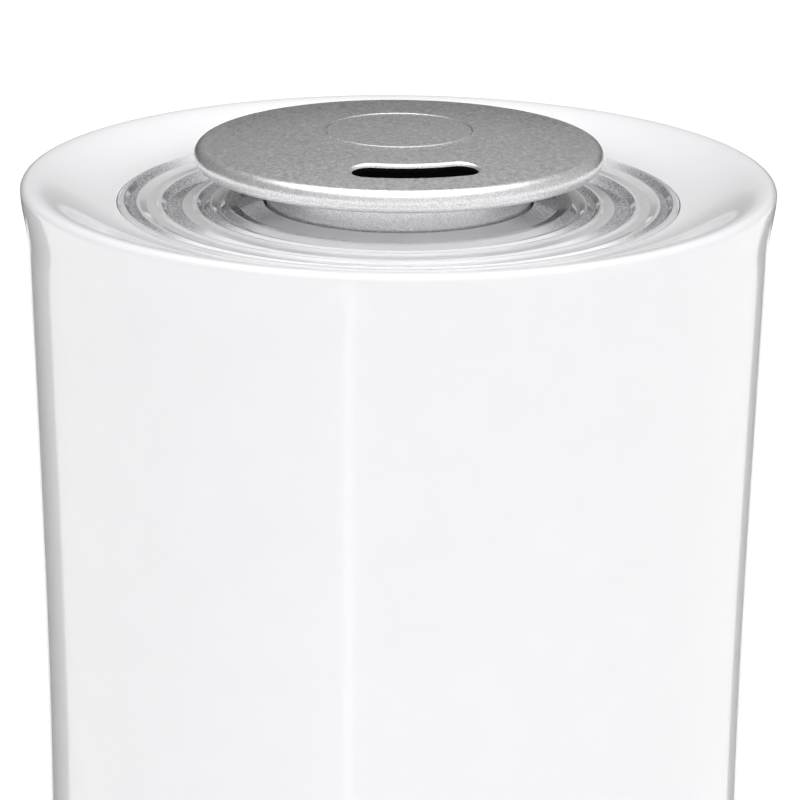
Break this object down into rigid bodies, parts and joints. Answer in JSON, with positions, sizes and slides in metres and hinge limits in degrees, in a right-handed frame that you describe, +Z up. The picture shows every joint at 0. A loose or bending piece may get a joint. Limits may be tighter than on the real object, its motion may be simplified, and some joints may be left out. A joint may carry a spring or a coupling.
{
  "type": "cool mist humidifier",
  "caption": "Round ultrasonic humidifier tower: a lift-off water tank on a fan and piezo base, with a turning slotted mist nozzle over stepped clear rings in its dished top.",
  "frame": {"origin": "centre of the footprint on the floor, under the tower's axis", "axes": "+Z up along the tower's axis; -Y is the front with the control panel; +X is to the right seen from the front"},
  "size_m": [0.23, 0.23, 0.3548],
  "materials": {
    "tank_white": "milky white, soft gloss",
    "base_white": "white, soft gloss",
    "clear_insert": "clear, polished",
    "nozzle_silver": "silver-grey metallic paint, satin",
    "inner_white": "white, matt",
    "dark_window": "black, polished",
    "silicone": "translucent white, matt",
    "foot_rubber": "dark grey, matt",
    "board_green": "green solder mask",
    "black_plastic": "black, matt",
    "bright_steel": "plain, bright",
    "plain_aluminium": "plain",
    "filter_ceramic": "cream, matt",
    "float_foam": "pale blue-white, matt"
  },
  "bodies": {
    "base": {"base_housing": "base_white", "base_deck": "base_white", "water_basin": "base_white", "bottom_cover": "base_white", "foot_1": "foot_rubber", "foot_2": "foot_rubber", "foot_3": "foot_rubber", "foot_4": "foot_rubber", "cover_screw_1": "bright_steel", "cover_screw_2": "bright_steel", "cover_screw_3": "bright_steel", "cover_screw_4": "bright_steel", "transducer_seal": "foot_rubber", "transducer_disc": "bright_steel", "transducer_retainer": "plain_aluminium", "driver_board": "board_green", "driver_heatsink": "plain_aluminium", "power_board": "board_green", "power_choke": "black_plastic", "power_capacitor": "black_plastic", "fan_frame": "black_plastic", "fan_motor": "black_plastic", "air_duct": "inner_white", "float_cap": "inner_white", "front_bezel": "nozzle_silver", "display_window": "dark_window", "display_module": "black_plastic", "control_board": "board_green", "mist_button_switch": "black_plastic", "power_button_switch": "black_plastic", "humidity_button_switch": "black_plastic", "power_inlet": "black_plastic"},
    "tank": {"tank_shell": "tank_white", "ring_insert": "clear_insert", "nozzle_socket": "clear_insert", "tank_floor": "tank_white", "mist_funnel": "tank_white", "filling_neck": "tank_white", "grip_pocket": "tank_white", "grip_bar": "tank_white", "mist_chimney": "clear_insert", "chimney_seal": "silicone"},
    "cap": {"tank_cap": "tank_white", "cap_gasket": "silicone", "valve_guide": "inner_white", "valve_spring": "bright_steel", "filter_cartridge": "filter_ceramic"},
    "valve": {"valve_stem": "inner_white", "valve_seal": "foot_rubber"},
    "nozzle_ring": {"nozzle_glide_ring": "silicone"},
    "nozzle": {"nozzle_cover": "nozzle_silver", "nozzle_badge": "nozzle_silver", "nozzle_neck": "nozzle_silver"},
    "float": {"float_ring": "float_foam", "float_magnet": "black_plastic"},
    "impeller": {"fan_impeller": "black_plastic"},
    "mist_key": {"mist_button": "nozzle_silver"},
    "power_key": {"power_button": "nozzle_silver"},
    "humidity_key": {"humidity_button": "nozzle_silver"}
  },
  "joints": [
    {"name": "tank_lift", "type": "slide", "parent": "base", "child": "tank", "axis": [0, 0, 1], "range_m": [0, 0.08]},
    {"name": "cap_turn", "type": "hinge", "parent": "tank", "child": "cap", "pos_m": [0.06, 0, 0.107], "axis": [0, 0, 1], "range_deg": [0, 350]},
    {"name": "valve_stem_slide", "type": "slide", "parent": "cap", "child": "valve", "axis": [0, 0, 1], "range_m": [-0.003, 0.0001], "deforming": ["valve_spring"]},
    {"name": "nozzle_lift", "type": "slide", "parent": "tank", "child": "nozzle_ring", "axis": [0, 0, 1], "range_m": [0, 0.04]},
    {"name": "nozzle_turn", "type": "hinge", "parent": "nozzle_ring", "child": "nozzle", "pos_m": [0, 0, 0.34], "axis": [0, 0, 1], "continuous": true},
    {"name": "float_rise", "type": "slide", "parent": "base", "child": "float", "axis": [0, 0, 1], "range_m": [0, 0.006]},
    {"name": "fan_spin", "type": "hinge", "parent": "base", "child": "impeller", "pos_m": [-0.054, 0, 0.026], "axis": [0, 0, 1], "continuous": true},
    {"name": "mist_press", "type": "slide", "parent": "base", "child": "mist_key", "axis": [0, 1, 0], "range_m": [0, 0.001], "stiffness_N_per_m": 900},
    {"name": "power_press", "type": "slide", "parent": "base", "child": "power_key", "axis": [0, 1, 0], "range_m": [0, 0.001], "stiffness_N_per_m": 900},
    {"name": "humidity_press", "type": "slide", "parent": "base", "child": "humidity_key", "axis": [0, 1, 0], "range_m": [0, 0.001], "stiffness_N_per_m": 900}
  ],
  "couplings": [
    {"joint": "valve_stem_slide", "follows": "tank_lift", "ratio": -0.0375}
  ]
}
